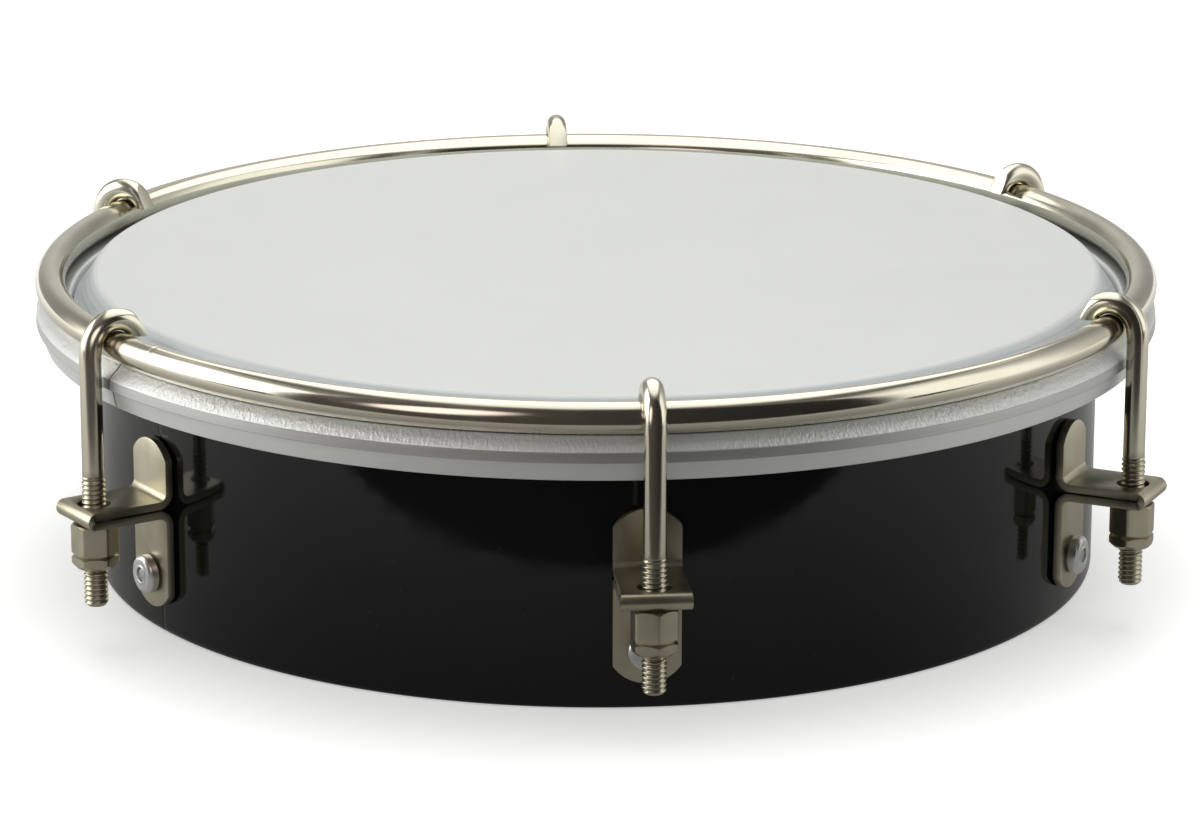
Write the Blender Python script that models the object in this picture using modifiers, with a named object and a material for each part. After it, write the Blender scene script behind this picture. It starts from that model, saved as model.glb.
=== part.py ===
# Tamborim
#
# A small hand drum. A short black shell, open below, carries a white film
# head, which a round counter hoop and six J hooks pull down over its edge.
# Each hook passes through a folded bracket and ends in a long hexagon nut.
#
# The origin is the centre of the shell's lower edge, +Z points up through
# the head, and sizes are in metres. Station 0 faces -Y.

import bpy
import bmesh
from math import asin, cos, pi, radians, sin, tan
from mathutils import Matrix, Vector

# Clearances
seat_gap = 0.0003            # between pieces that rest on each other

# Shell
shell_radius = 0.0738        # outside
shell_height = 0.0430
shell_wall = 0.0010
edge_bend = 0.0016           # outside radius where both edges turn inwards
edge_turn_in = 0.0036        # from the outside of the wall to the edge's lip

# Head: film, and the aluminium hoop that its rim is tucked into
film_thickness = 0.0003
collar_flare = radians(35)   # slope of the film's collar, from the vertical
head_clearance = 0.0032      # from the shell out to the hoop
hoop_drop = 0.0026           # from the shell's top down to the hoop's top
hoop_width = 0.0052          # from the hoop's inside to its bead's outside
hoop_wall = 0.0009
hoop_bend = 0.0014           # outside radius of the hoop's upper corners
hoop_height = 0.0059
hoop_inner_depth = 0.0044    # height of the hoop's inner wall
bead_height = 0.0033         # from the hoop's top down to the skirt
skirt_inset = 0.0007         # how far the skirt lies inside the bead
tuck_clearance = 0.0006      # above the film's tucked rim

# Counter hoop
ring_wire = 0.0044

# Stations, each with a hook, a bracket, a nut, a rivet and a mandrel
station_count = 6
station_offsets = [0.4, 0, 0, -0.3, 0, -1.3]   # degrees that each is off the even pattern

# Hooks
hook_wire = 0.0031
hook_sweep = radians(168)    # how far the hook bends round the counter hoop
tip_height = 0.0012          # from the counter hoop's middle up to the tip's end
tip_reach = 0.0043           # from the counter hoop's middle in to the tip's corner
tip_slope = radians(63)      # slope of the slanted cut on the outside of the tip
thread_diameter = 0.0034
thread_length = 0.0190
thread_tail = 0.0056         # thread that shows below the nut

# Brackets
strip_width = 0.0093
strip_thickness = 0.0011
layer_gap = 0.0003           # between the two layers of the shelf
strip_bend = 0.0016          # radius of the bends, on the strip's middle
shelf_top = 0.0207           # above the shell's lower edge
upper_tab = 0.0081           # from the shelf's top to the tab's tip
lower_tab = 0.0140           # from the shelf's underside to the tab's tip
tab_round = 0.0025           # height of the rounded end of each tab
hook_hole = 0.0047
hole_margin = 0.0011         # from the hook's hole to the front edge
fold_corner = 0.0001         # how much narrower the strip is at its front fold

# Nuts
nut_flats = 0.0059
nut_height = 0.0064
nut_foot = 0.0019            # height of the end below the groove
nut_groove = 0.0003          # depth of the groove, below the flats
nut_chamfer = 0.0004         # height of the chamfer on the upper corners
foot_chamfer = 0.0009        # height of the chamfer on the lower corners
foot_inset = 0.0004          # from the flats in to the lower face's edge
nut_turns = [37, 9, 22, 48, 14, 1]   # degrees each nut stands turned

# Rivets
rivet_shank = 0.0032
rivet_head = 0.0052
rivet_rise = 0.0013          # height of the head
rivet_round = 0.0008         # radius round the head's outside edge
rivet_bore = 0.0020
rivet_height = 0.0090        # above the shell's lower edge
rivet_tail = 0.0026          # length of the swollen end inside the shell
rivet_tail_diameter = 0.0044
rivet_tail_slope = 0.0007    # length of the slopes at both ends of the tail
mandrel_stem = 0.0014
mandrel_depth = 0.0006       # from the rivet's face in to the broken end
mandrel_break = 0.0002       # height of the broken end's point
mandrel_head = 0.0026
mandrel_head_length = 0.0010
mandrel_head_bevel = 0.0004

# Smoothness
ring_steps = 60
bend_steps = 3
ring_wire_steps = 12
wire_resolution = 3
hook_steps = 9
small_steps = 12
nut_steps = 18
tab_steps = 3
tab_flat = radians(8)        # half the angle of the small flat at a tab's tip
fold_steps = 4
merge_distance = 0.00001
sheet_crease = radians(35)   # sharper edges than this stay sharp
wire_crease = radians(50)
nut_crease = radians(20)

# Sizes that follow from the ones above
hoop_inner_radius = shell_radius + head_clearance
bead_radius = hoop_inner_radius + hoop_width
hoop_top = shell_height - hoop_drop
ring_radius = bead_radius - ring_wire / 2
ring_height = hoop_top + seat_gap + ring_wire / 2
hook_bend = ring_wire / 2 + seat_gap + hook_wire / 2
rod_radius = ring_radius + hook_bend
tab_radius = shell_radius + seat_gap + strip_thickness / 2
shelf_underside = shelf_top - 2 * strip_thickness - layer_gap
shelf_front = rod_radius + hook_hole / 2 + hole_margin
nut_top = shelf_underside - seat_gap
nut_bottom = nut_top - nut_height
rod_end = nut_bottom - thread_tail
thread_top = rod_end + thread_length
rivet_hole = rivet_shank + 2 * seat_gap
tab_face = tab_radius + strip_thickness / 2


def clear_scene():
    for old in list(bpy.data.objects):
        bpy.data.objects.remove(old, do_unlink=True)


def new_collection(name):
    collection = bpy.data.collections.new(name)
    bpy.context.scene.collection.children.link(collection)
    return collection


def new_material(name, colour, roughness, metallic):
    material = bpy.data.materials.new(name)
    material.use_nodes = True
    shader = material.node_tree.nodes["Principled BSDF"]
    shader.inputs["Base Color"].default_value = (*colour, 1)
    shader.inputs["Roughness"].default_value = roughness
    shader.inputs["Metallic"].default_value = metallic
    return material


def add_object(name, data, collection, material=None, parent=None):
    item = bpy.data.objects.new(name, data)
    collection.objects.link(item)
    item.parent = parent
    if material:
        data.materials.append(material)
    return item


def add_cutter(name, data, parent=None):
    cutter = add_object(name, data, cutters, parent=parent)
    cutter.hide_render = True
    cutter.display_type = "WIRE"
    return cutter


def smooth(mesh, crease):
    mesh.shade_smooth()
    mesh.set_sharp_from_angle(angle=crease)


def arc(centre, radius, start, end, steps):
    """Points on an arc in the plane of radius and height, angles in radians."""
    points = []
    for i in range(steps + 1):
        angle = start + (end - start) * i / steps
        points.append((centre[0] + radius * cos(angle), centre[1] + radius * sin(angle)))
    return points


def profile_mesh(name, points, closed=False):
    """A chain of edges at +X, from pairs of radius and height."""
    count = len(points)
    edges = [(i, i + 1) for i in range(count - 1)]
    if closed:
        edges.append((count - 1, 0))
    mesh = bpy.data.meshes.new(name)
    mesh.from_pydata([(x, 0, z) for x, z in points], edges, [])
    return mesh


def turn(item, steps):
    screw = item.modifiers.new("turn", "SCREW")
    screw.steps = steps
    screw.render_steps = steps
    screw.use_merge_vertices = True
    screw.merge_threshold = merge_distance


def thicken(item, thickness):
    skin = item.modifiers.new("thickness", "SOLIDIFY")
    skin.thickness = thickness
    skin.offset = 0
    skin.use_even_offset = True


def cut(item, cutter, operation="DIFFERENCE"):
    boolean = item.modifiers.new(cutter.name, "BOOLEAN")
    boolean.operation = operation
    boolean.object = cutter


def rod_mesh(name, radius, length, steps, axis="Z"):
    """A cylinder centred on its own origin."""
    mesh = bpy.data.meshes.new(name)
    shape = bmesh.new()
    bmesh.ops.create_cone(
        shape, cap_ends=True, segments=steps, radius1=radius, radius2=radius, depth=length)
    if axis == "X":
        bmesh.ops.rotate(shape, verts=shape.verts, matrix=Matrix.Rotation(pi / 2, 3, "Y"))
    shape.to_mesh(mesh)
    shape.free()
    return mesh


# Shell

def shell_profile():
    middle = shell_radius - shell_wall / 2
    bend = edge_bend - shell_wall / 2
    top = shell_height - shell_wall / 2
    bottom = shell_wall / 2
    lip = shell_radius - edge_turn_in
    points = [(lip, top)]
    points += arc((middle - bend, top - bend), bend, pi / 2, 0, bend_steps)
    points += arc((middle - bend, bottom + bend), bend, 0, -pi / 2, bend_steps)
    points.append((lip, bottom))
    return points


def rivet_hole_cutter():
    """One short rod through the shell's wall at each station."""
    mesh = bpy.data.meshes.new("rivet_holes")
    shape = bmesh.new()
    for station in range(station_count):
        place = (Matrix.Rotation(station_angle(station), 4, "Z")
                 @ Matrix.Translation((shell_radius, 0, rivet_height))
                 @ Matrix.Rotation(pi / 2, 4, "Y"))
        bmesh.ops.create_cone(
            shape, cap_ends=True, segments=small_steps, radius1=rivet_hole / 2,
            radius2=rivet_hole / 2, depth=4 * shell_wall, matrix=place)
    shape.to_mesh(mesh)
    shape.free()
    return add_cutter("rivet_holes", mesh)


def make_shell(holes):
    shell = add_object("shell", profile_mesh("shell", shell_profile()), parts, black_paint)
    turn(shell, ring_steps)
    thicken(shell, shell_wall)
    cut(shell, holes)


# Head

def film_profile():
    """The film's middle, from the axis out, over the edge and into the hoop."""
    half = film_thickness / 2
    bend_centre = (shell_radius - edge_bend, shell_height - edge_bend)
    bend = edge_bend + seat_gap + half
    points = [(0, bend_centre[1] + bend)]
    points += arc(bend_centre, bend, pi / 2, collar_flare, bend_steps)
    wall = hoop_inner_radius - seat_gap - half
    slope_foot = points[-1][1] - (wall - points[-1][0]) / tan(collar_flare)
    points.append((wall, slope_foot))
    turn_centre = (hoop_inner_radius + hoop_wall / 2, hoop_top - hoop_inner_depth)
    turn_radius = turn_centre[0] - wall
    points += arc(turn_centre, turn_radius, pi, 2 * pi, bend_steps)
    rim = hoop_top - hoop_wall - tuck_clearance
    points.append((turn_centre[0] + turn_radius, rim))
    return points


def make_film():
    film = add_object("head_film", profile_mesh("head_film", film_profile()), parts, white_film)
    turn(film, ring_steps)
    thicken(film, film_thickness)


def hoop_profile():
    """The hoop's middle, up its inner wall, over the top and down the skirt."""
    half = hoop_wall / 2
    inner = hoop_inner_radius + half
    outer = bead_radius - half
    top = hoop_top - half
    bend = hoop_bend - half
    skirt = outer - skirt_inset
    points = [(inner, hoop_top - hoop_inner_depth)]
    points += arc((inner + bend, top - bend), bend, pi, pi / 2, bend_steps)
    points += arc((outer - bend, top - bend), bend, pi / 2, 0, bend_steps)
    points.append((outer, hoop_top - bead_height + skirt_inset))
    points.append((skirt, hoop_top - bead_height))
    points.append((skirt, hoop_top - hoop_height))
    return points


def make_hoop():
    hoop = add_object("head_hoop", profile_mesh("head_hoop", hoop_profile()), parts, aluminium)
    turn(hoop, ring_steps)
    thicken(hoop, hoop_wall)


def make_counter_hoop():
    section = arc(
        (ring_radius, ring_height), ring_wire / 2, pi / 2, -3 * pi / 2, ring_wire_steps)[:-1]
    ring = add_object(
        "counter_hoop", profile_mesh("counter_hoop", section, closed=True), parts, nickel)
    turn(ring, ring_steps)


# Hooks

def hook_curve():
    """The hook's middle line, with a wider tube along its thread."""
    swell = thread_diameter / hook_wire
    step_height = (thread_diameter - hook_wire) / 2
    route = [(rod_radius, rod_end, swell), (rod_radius, thread_top, swell)]
    route.append((rod_radius, thread_top + step_height, 1))
    for x, z in arc((ring_radius, ring_height), hook_bend, 0, hook_sweep, hook_steps):
        route.append((x, z, 1))
    data = bpy.data.curves.new("hook", "CURVE")
    data.dimensions = "3D"
    data.bevel_depth = hook_wire / 2
    data.bevel_resolution = wire_resolution
    data.use_fill_caps = True
    line = data.splines.new("POLY")
    line.points.add(len(route) - 1)
    for point, (x, z, width) in zip(line.points, route):
        point.co = (x, 0, z, 1)
        point.radius = width
    return data


def trim_tip(shape, point, outward):
    """Cut the inner half of the hook's bend with a plane and close the cut."""
    verts = [v for v in shape.verts if v.co.x < ring_radius]
    edges = {edge for v in verts for edge in v.link_edges}
    faces = {face for v in verts for face in v.link_faces}
    trimmed = bmesh.ops.bisect_plane(
        shape, geom=verts + list(edges) + list(faces), plane_co=point, plane_no=outward,
        clear_outer=True)
    rim = [e for e in trimmed["geom_cut"] if isinstance(e, bmesh.types.BMEdge)]
    bmesh.ops.holes_fill(shape, edges=rim, sides=0)


def hook_mesh():
    """The tube as a mesh, with a slanted cut outside its tip and a level end."""
    guide = add_object("hook_guide", hook_curve(), cutters)
    depsgraph = bpy.context.evaluated_depsgraph_get()
    mesh = bpy.data.meshes.new_from_object(guide.evaluated_get(depsgraph))
    mesh.transform(guide.matrix_world)
    bpy.data.objects.remove(guide, do_unlink=True)
    corner = Vector((ring_radius - tip_reach, 0, ring_height + tip_height))
    shape = bmesh.new()
    shape.from_mesh(mesh)
    bmesh.ops.remove_doubles(shape, verts=shape.verts, dist=merge_distance)
    trim_tip(shape, corner, Vector((0, 0, -1)))
    trim_tip(shape, corner, Vector((-sin(tip_slope), 0, cos(tip_slope))))
    bmesh.ops.recalc_face_normals(shape, faces=shape.faces)
    shape.to_mesh(mesh)
    shape.free()
    smooth(mesh, wire_crease)
    return mesh


# Brackets

def tab_end():
    """Pairs of distance from a tab's tip and half width, tip first."""
    half = strip_width / 2
    radius = (half * half + tab_round * tab_round) / (2 * tab_round)
    full_angle = asin(half / radius)
    rows = []
    for i in range(tab_steps + 1):
        angle = tab_flat + (full_angle - tab_flat) * i / tab_steps
        rows.append((radius * (1 - cos(angle)), radius * sin(angle)))
    return rows


def bracket_rows():
    """The strip's middle line from the lower tip to the upper one.

    Each row is a radius, a height and the strip's half width there.
    """
    half = strip_width / 2
    upper_layer = shelf_top - strip_thickness / 2
    lower_layer = shelf_underside + strip_thickness / 2
    fold_radius = (upper_layer - lower_layer) / 2
    fold_centre = (shelf_front - strip_thickness / 2 - fold_radius, lower_layer + fold_radius)
    lower_tip = shelf_underside - lower_tab
    upper_tip = shelf_top + upper_tab
    rows = [(tab_radius, lower_tip + rise, width) for rise, width in tab_end()]
    lower_bend = arc((tab_radius + strip_bend, lower_layer - strip_bend), strip_bend,
                     pi, pi / 2, bend_steps)
    rows += [(x, z, half) for x, z in lower_bend]
    for i, (x, z) in enumerate(arc(fold_centre, fold_radius, -pi / 2, pi / 2, fold_steps)):
        rows.append((x, z, half - fold_corner * sin(pi * i / fold_steps)))
    upper_bend = arc((tab_radius + strip_bend, upper_layer + strip_bend), strip_bend,
                     -pi / 2, -pi, bend_steps)
    rows += [(x, z, half) for x, z in upper_bend]
    rows += [(tab_radius, upper_tip - drop, width) for drop, width in reversed(tab_end())]
    return rows


def bracket_mesh():
    rows = bracket_rows()
    mesh = bpy.data.meshes.new("bracket")
    corners = []
    for x, z, half in rows:
        corners += [(x, -half, z), (x, half, z)]
    faces = [(2 * i, 2 * i + 1, 2 * i + 3, 2 * i + 2) for i in range(len(rows) - 1)]
    mesh.from_pydata(corners, [], faces)
    smooth(mesh, sheet_crease)
    return mesh


def hook_hole_cutter():
    depth = 4 * (shelf_top - shelf_underside)
    cutter = add_cutter("hook_hole", rod_mesh("hook_hole", hook_hole / 2, depth, small_steps))
    cutter.location = (rod_radius, 0, (shelf_top + shelf_underside) / 2)
    return cutter


def tab_hole_cutter():
    depth = 4 * strip_thickness
    cutter = add_cutter(
        "tab_hole", rod_mesh("tab_hole", rivet_hole / 2, depth, small_steps, axis="X"))
    cutter.location = (tab_radius, 0, rivet_height)
    return cutter


# Nuts

def nut_profile():
    """The nut as turned, before its flats, from the bore out and down."""
    bore = thread_diameter / 2 + seat_gap
    flat = nut_flats / 2
    corner = flat / cos(pi / 6)
    groove_width = nut_groove + corner - flat
    return [
        (bore, nut_height),
        (flat, nut_height),
        (corner, nut_height - nut_chamfer),
        (corner, nut_foot + groove_width / 2),
        (flat - nut_groove, nut_foot),
        (corner, nut_foot - groove_width / 2),
        (corner, foot_chamfer),
        (flat - foot_inset, 0),
        (bore, 0),
    ]


def nut_mesh():
    """The turned blank cut to a hexagon, as one mesh that the nuts share."""
    blank = add_object(
        "nut_blank", profile_mesh("nut_blank", nut_profile(), closed=True), cutters)
    turn(blank, nut_steps)
    corner = nut_flats / 2 / cos(pi / 6)
    hexagon = add_object("nut_hexagon", rod_mesh("nut_hexagon", corner, 2 * nut_height, 6), cutters)
    hexagon.rotation_euler.z = pi / 2
    hexagon.location.z = nut_height / 2
    cut(blank, hexagon, "INTERSECT")
    bpy.context.view_layer.update()
    depsgraph = bpy.context.evaluated_depsgraph_get()
    mesh = bpy.data.meshes.new_from_object(blank.evaluated_get(depsgraph))
    mesh.name = "nut"
    bpy.data.objects.remove(blank, do_unlink=True)
    bpy.data.objects.remove(hexagon, do_unlink=True)
    smooth(mesh, nut_crease)
    return mesh


# Rivets

def rivet_profile():
    """Along the rivet's own axis, the outside end first; heights run outwards."""
    bore = rivet_bore / 2
    shank = rivet_shank / 2
    head = rivet_head / 2
    tail = rivet_tail_diameter / 2
    seat = tab_face + seat_gap
    inside = shell_radius - shell_wall - seat_gap
    round_centre = (head - rivet_round, seat + rivet_rise - rivet_round)
    points = [(bore, seat + rivet_rise)]
    points += arc(round_centre, rivet_round, pi / 2, 0, bend_steps)
    points += [
        (head, seat),
        (shank, seat),
        (shank, inside),
        (tail, inside - rivet_tail_slope),
        (tail, inside - rivet_tail + rivet_tail_slope),
        ((bore + tail) / 2, inside - rivet_tail),
        (bore, inside - rivet_tail),
    ]
    return points


def mandrel_profile():
    """The mandrel's stub: its stem in the rivet's bore, its head behind it."""
    stem = mandrel_stem / 2
    head = mandrel_head / 2
    tail_end = shell_radius - shell_wall - seat_gap - rivet_tail
    top = tab_face + seat_gap + rivet_rise - mandrel_depth
    seat = tail_end - seat_gap
    bottom = seat - mandrel_head_length
    return [
        (0, top),
        (stem, top - mandrel_break),
        (stem, seat),
        (head, seat),
        (head, bottom + mandrel_head_bevel),
        (head - mandrel_head_bevel, bottom),
        (0, bottom),
    ]


# Placing

def station_angle(station):
    even = -pi / 2 + station * 2 * pi / station_count
    return even + radians(station_offsets[station])


def make_station(station, hook, bracket, nut, rivet, mandrel, hook_hole_tool, tab_hole_tool):
    number = station + 1
    mark = bpy.data.objects.new(f"station_{number}", None)
    parts.objects.link(mark)
    mark.rotation_euler.z = station_angle(station)

    add_object(f"hook_{number}", hook, parts, parent=mark)

    plate = add_object(f"bracket_{number}", bracket, parts, parent=mark)
    thicken(plate, strip_thickness)
    for tool in (hook_hole_tool, tab_hole_tool):
        copy = add_cutter(f"{tool.name}_{number}", tool.data, parent=mark)
        copy.location = tool.location
        cut(plate, copy)

    collar = add_object(f"nut_{number}", nut, parts, parent=mark)
    collar.location = (rod_radius, 0, nut_bottom)
    collar.rotation_euler.z = radians(nut_turns[station]) - station_angle(station)

    for name, data in (("rivet", rivet), ("mandrel", mandrel)):
        pin = add_object(f"{name}_{number}", data, parts, parent=mark)
        pin.location.z = rivet_height
        pin.rotation_euler.y = pi / 2
        turn(pin, small_steps)


clear_scene()
parts = new_collection("tamborim")
cutters = new_collection("cutters")

black_paint = new_material("black_paint", (0.012, 0.013, 0.012), 0.12, 0.0)
white_film = new_material("white_film", (0.74, 0.76, 0.75), 0.45, 0.0)
aluminium = new_material("aluminium", (0.78, 0.78, 0.80), 0.35, 1.0)
nickel = new_material("nickel", (0.72, 0.68, 0.58), 0.18, 1.0)
rivet_metal = new_material("rivet_metal", (0.82, 0.82, 0.83), 0.3, 1.0)
mandrel_steel = new_material("mandrel_steel", (0.45, 0.44, 0.42), 0.4, 1.0)

make_shell(rivet_hole_cutter())
make_film()
make_hoop()
make_counter_hoop()

hook = hook_mesh()
hook.materials.append(nickel)
bracket = bracket_mesh()
bracket.materials.append(nickel)
nut = nut_mesh()
nut.materials.append(nickel)
rivet = profile_mesh("rivet", rivet_profile(), closed=True)
rivet.materials.append(rivet_metal)
mandrel = profile_mesh("mandrel", mandrel_profile())
mandrel.materials.append(mandrel_steel)

hook_hole_tool = hook_hole_cutter()
tab_hole_tool = tab_hole_cutter()
for station in range(station_count):
    make_station(station, hook, bracket, nut, rivet, mandrel, hook_hole_tool, tab_hole_tool)
bpy.data.objects.remove(hook_hole_tool, do_unlink=True)
bpy.data.objects.remove(tab_hole_tool, do_unlink=True)
bpy.context.view_layer.update()
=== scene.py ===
import math

import bmesh
import bpy
from mathutils import Matrix, Vector


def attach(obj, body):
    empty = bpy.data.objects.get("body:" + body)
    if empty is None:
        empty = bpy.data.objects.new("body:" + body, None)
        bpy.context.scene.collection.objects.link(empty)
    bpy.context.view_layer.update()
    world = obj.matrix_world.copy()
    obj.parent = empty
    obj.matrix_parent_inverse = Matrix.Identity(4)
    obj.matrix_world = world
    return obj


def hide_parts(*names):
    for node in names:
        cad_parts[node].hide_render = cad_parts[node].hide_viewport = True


# Tamborim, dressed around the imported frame.
# Lengths in this script are millimetres until a mesh is made; angles are degrees.

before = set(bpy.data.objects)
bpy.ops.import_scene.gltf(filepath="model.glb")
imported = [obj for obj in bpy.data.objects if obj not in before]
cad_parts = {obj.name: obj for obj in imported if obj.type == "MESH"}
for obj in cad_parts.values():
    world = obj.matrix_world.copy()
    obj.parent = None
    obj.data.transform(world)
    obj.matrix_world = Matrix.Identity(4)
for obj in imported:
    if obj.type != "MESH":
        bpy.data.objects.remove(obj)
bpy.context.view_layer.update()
mm = 0.001
metre = 1000.0             # in millimetres
print("frame loaded:", len(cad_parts), "nodes")

# Where things stand, shared by all the pieces
layout = {
    "stations": 6,
    "firstStation": -90,      # direction of the first hook
    "offsets": (0.4, 0, 0, -0.3, 0, -1.3),   # how far each station is off the even pattern
    "ringRadius": 80.0,       # middle of the counter hoop's wire
    "ringHeight": 42.9,
    "rodRadius": 84.05,       # middle of the straight rods
    "threadTop": 24.9,        # height where the hooks' threads end
    "rivetHeight": 9.0,
    "seat": 0.3,              # air between pieces that rest on each other
}


# Shapes

def pointsOnArc(centre, radius, start, end, steps):
    turns = [math.radians(start + (end - start) * i / steps) for i in range(steps + 1)]
    return [(centre[0] + radius * math.cos(t), centre[1] + radius * math.sin(t)) for t in turns]


def roundCorners(corners, steps):
    # fillets a closed outline; each corner is a radius, a height and its own fillet
    count = len(corners)
    result = []
    for i, (x, z, radius) in enumerate(corners):
        corner = Vector((x, z))
        back = Vector(corners[i - 1][:2]) - corner
        onward = Vector(corners[(i + 1) % count][:2]) - corner
        angle = back.angle(onward)
        if radius <= 0 or angle > math.radians(176):
            result.append(tuple(corner))
            continue
        reach = radius / math.tan(angle / 2)
        reach = min(reach, back.length * 0.49, onward.length * 0.49)
        first = corner + back.normalized() * reach
        last = corner + onward.normalized() * reach
        for k in range(steps + 1):
            t = k / steps
            # a parabola through both ends is close enough to the arc at this size
            result.append(tuple(first * (1 - t) ** 2 + corner * 2 * t * (1 - t) + last * t ** 2))
    return result


def thickLine(path, thickness, endSteps=3):
    # closed outline around a line, with round ends
    half = thickness / 2
    sides = []
    for i, point in enumerate(path):
        here = Vector(point)
        before = (here - Vector(path[i - 1])).normalized() if i else None
        after = (Vector(path[i + 1]) - here).normalized() if i < len(path) - 1 else None
        along = ((before or after) + (after or before)).normalized()
        normal = Vector((-along.y, along.x))
        stretch = 1 / max(0.5, along.dot(before or after))
        sides.append((here, normal * half * stretch, along))
    outline = [tuple(here + normal) for here, normal, along in sides]
    here, normal, along = sides[-1]
    for k in range(1, endSteps):
        t = math.pi * k / endSteps
        outline.append(tuple(here + normal * math.cos(t) + along * half * math.sin(t)))
    outline += [tuple(here - normal) for here, normal, along in reversed(sides)]
    here, normal, along = sides[0]
    for k in range(1, endSteps):
        t = math.pi * k / endSteps
        outline.append(tuple(here - normal * math.cos(t) - along * half * math.sin(t)))
    return outline


def degreesApart(first, second):
    return abs((first - second + 180) % 360 - 180)


def evenAngles(steps, extra=()):
    # directions all round, with a few more where something small is
    turns = [360 * i / steps for i in range(steps)]
    for middle, halfWidth in extra:
        middle %= 360
        turns = [t for t in turns if degreesApart(t, middle) > halfWidth * 1.4]
        turns += [(middle + halfWidth * share) % 360 for share in (-1, -0.6, -0.3, 0, 0.3, 0.6, 1)]
    return sorted(turns)


def smoothMesh(mesh, angle):
    # smooth faces, with sharp edges where they meet at more than the angle
    mesh.shade_smooth()
    mesh.set_sharp_from_angle(angle=math.radians(angle))
    return mesh


def finishMesh(name, shape, smoothAngle):
    bmesh.ops.recalc_face_normals(shape, faces=shape.faces)
    bmesh.ops.scale(shape, verts=shape.verts, vec=(mm, mm, mm))
    mesh = bpy.data.meshes.new(name)
    shape.to_mesh(mesh)
    shape.free()
    return smoothMesh(mesh, smoothAngle)


def joinRows(shape, rows):
    # faces between closed rows of points, and one over each end
    for first, second in zip(rows, rows[1:]):
        for k in range(len(first)):
            n = (k + 1) % len(first)
            shape.faces.new((first[k], first[n], second[n], second[k]))
    shape.faces.new(rows[0])
    shape.faces.new(rows[-1])


def turnedShape(outline, angles, open=False, shift=None):
    # turns an outline of radius and height round the Z axis
    shape = bmesh.new()
    poles = {}
    columns = []
    for angle in angles:
        column = []
        for i, (radius, height) in enumerate(outline):
            if radius < 1e-6:
                if i not in poles:
                    poles[i] = shape.verts.new((0, 0, height))
                column.append(poles[i])
                continue
            if shift:
                radius, height = shift(radius, height, angle)
            t = math.radians(angle)
            column.append(shape.verts.new((radius * math.cos(t), radius * math.sin(t), height)))
        columns.append(column)
    spans = len(columns) - 1 if open else len(columns)
    for k in range(spans):
        left, right = columns[k], columns[(k + 1) % len(columns)]
        for i in range(len(outline)):
            j = (i + 1) % len(outline)
            corners = list(dict.fromkeys([left[i], left[j], right[j], right[i]]))
            if len(corners) > 2:
                shape.faces.new(corners)
    if open:
        shape.faces.new(columns[0])
        shape.faces.new(columns[-1])
    return shape


def turnedMesh(name, outline, angles, smoothAngle=40, **options):
    return finishMesh(name, turnedShape(outline, angles, **options), smoothAngle)


def addObject(name, data, matrix=None):
    item = bpy.data.objects.new(name, data)
    bpy.context.scene.collection.objects.link(item)
    if matrix:
        item.matrix_world = matrix
    return item


def roundDrill(name, radius, length, matrix, segments=48):
    drill = bmesh.new()
    bmesh.ops.create_cone(drill, cap_ends=True, segments=segments, radius1=radius, radius2=radius,
                          depth=length)
    return addObject(name, finishMesh(name, drill, 30), matrix)


def cutWith(item, tools, operation="DIFFERENCE"):
    for tool in tools:
        boolean = item.modifiers.new(tool.name, "BOOLEAN")
        boolean.operation = operation
        boolean.object = tool
        boolean.solver = "EXACT"


def bakeModifiers(item, tools, smoothAngle):
    # the mesh that an object has after its modifiers; the object and its tools go
    bpy.context.view_layer.update()
    depsgraph = bpy.context.evaluated_depsgraph_get()
    mesh = bpy.data.meshes.new_from_object(item.evaluated_get(depsgraph))
    for used in (item, *tools):
        bpy.data.objects.remove(used, do_unlink=True)
    return smoothMesh(mesh, smoothAngle)


def stations():
    # the number of each station and its turn round the Z axis
    for number, offset in enumerate(layout["offsets"], 1):
        even = layout["firstStation"] + (number - 1) * 360 / layout["stations"]
        yield number, Matrix.Rotation(math.radians(even + offset), 4, "Z")


def alongAxis(radius, height):
    # moved out along X and up, with the Z axis laid down to point outwards
    return (Matrix.Translation((radius * mm, 0, height * mm))
            @ Matrix.Rotation(math.pi / 2, 4, "Y"))


def placePiece(name, mesh, material, body, nodes, matrix=None):
    if matrix:
        mesh.transform(matrix)
    item = addObject(name, mesh)
    mesh.materials.clear()
    mesh.materials.append(material)
    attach(item, body)
    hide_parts(*nodes)
    return item


# Materials

def toLinear(hexColour):
    channels = [int(hexColour[i:i + 2], 16) / 255 for i in (1, 3, 5)]
    linear = [c / 12.92 if c <= 0.04045 else ((c + 0.055) / 1.055) ** 2.4 for c in channels]
    return (*linear, 1.0)


def addNode(tree, kind, values=None, links=None, **options):
    node = tree.nodes.new(kind)
    for option, setting in options.items():
        setattr(node, option, setting)
    for socket, value in (values or {}).items():
        node.inputs[socket].default_value = value
    for socket, source in (links or {}).items():
        tree.links.new(source, node.inputs[socket])
    return node


def startMaterial(name, roughness, metallic):
    material = bpy.data.materials.new(name)
    material.use_nodes = True
    tree = material.node_tree
    shader = tree.nodes["Principled BSDF"]
    shader.inputs["Roughness"].default_value = roughness
    shader.inputs["Metallic"].default_value = metallic
    place = addNode(tree, "ShaderNodeTexCoord").outputs["Object"]
    return material, tree, shader, place


def feed(tree, socket, source):
    # source is a number, a hex colour or another socket
    if isinstance(source, str):
        socket.default_value = toLinear(source)
    elif isinstance(source, float):
        socket.default_value = source
    else:
        tree.links.new(source, socket)


def mixColours(tree, factor, first, second):
    node = addNode(tree, "ShaderNodeMix", links={0: factor}, data_type="RGBA")
    feed(tree, node.inputs[6], first)
    feed(tree, node.inputs[7], second)
    return node.outputs[2]


def mixNumbers(tree, factor, first, second):
    node = addNode(tree, "ShaderNodeMix", links={0: factor}, data_type="FLOAT")
    feed(tree, node.inputs[2], first)
    feed(tree, node.inputs[3], second)
    return node.outputs[0]


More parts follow.
